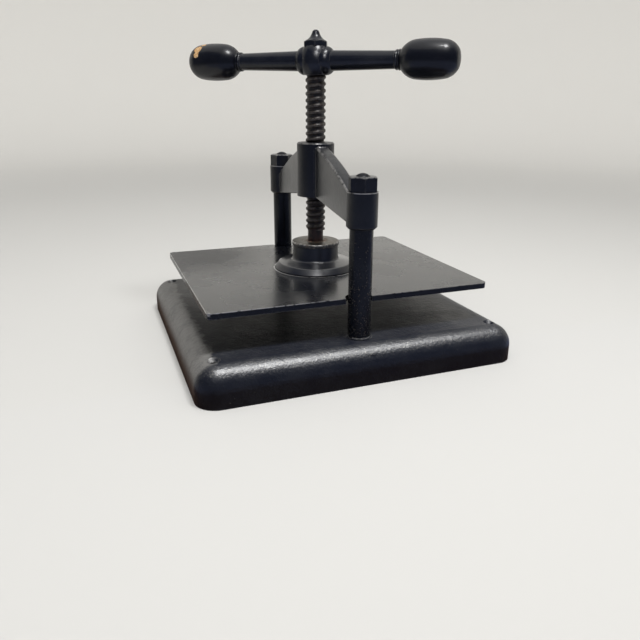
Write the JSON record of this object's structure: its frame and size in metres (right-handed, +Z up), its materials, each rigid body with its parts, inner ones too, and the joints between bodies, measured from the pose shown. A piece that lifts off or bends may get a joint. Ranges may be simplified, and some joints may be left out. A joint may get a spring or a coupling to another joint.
{
  "type": "book press",
  "caption": "Small bench screw press for books: cast base, two columns, bridge, coarse screw with a two-armed handle and a flat platen that rises and falls.",
  "frame": {"origin": "centre of the base's underside, on the bench, under the screw", "axes": "+Z up along the screw, +X along the bridge, from column_left to column_right, +Y along the platen's long side"},
  "size_m": [0.33, 0.343, 0.3344],
  "materials": {
    "painted_casting": "semi-gloss black paint over cast iron, slightly pitted",
    "painted_plate": "glossy black paint on a flat plate, worn to grey metal along its edges",
    "column_steel": "glossy black paint on turned steel",
    "painted_nut": "glossy black paint, bright on worn edges",
    "painted_handle": "glossy black paint on forged steel",
    "cap_steel": "bare dark steel, brown with a little rust",
    "screw_steel": "oiled dark steel thread, brown-black",
    "plain_steel": "plain steel, dull",
    "painted_wood": "gloss black lacquer on turned wood, chipped to bare wood"
  },
  "bodies": {
    "frame": {"base": "painted_casting", "column_right": "column_steel", "column_left": "column_steel", "base_washer_right": "plain_steel", "base_washer_left": "plain_steel", "base_nut_right": "plain_steel", "base_nut_left": "plain_steel", "bridge": "painted_casting", "bridge_nut_right": "painted_nut", "bridge_nut_left": "painted_nut"},
    "platen_body": {"platen": "painted_plate", "swivel_housing": "painted_casting", "housing_screws": "plain_steel", "retaining_cap": "cap_steel"},
    "screw_body": {"screw": "screw_steel", "thrust_collar": "plain_steel", "collar_pin": "plain_steel", "handle": "painted_handle", "knob_right": "painted_wood", "knob_left": "painted_wood", "finial_nut": "painted_nut"}
  },
  "joints": [
    {"name": "platen_travel", "type": "slide", "parent": "frame", "child": "platen_body", "axis": [0, 0, 1], "range_m": [-0.035, 0.0505]},
    {"name": "screw_turn", "type": "hinge", "parent": "platen_body", "child": "screw_body", "pos_m": [0, 0, 0.2], "axis": [0, 0, 1], "range_deg": [-1813, 2628]}
  ],
  "couplings": [
    {"joint": "platen_travel", "follows": "screw_turn", "m_per_rad": 0.0010902}
  ]
}
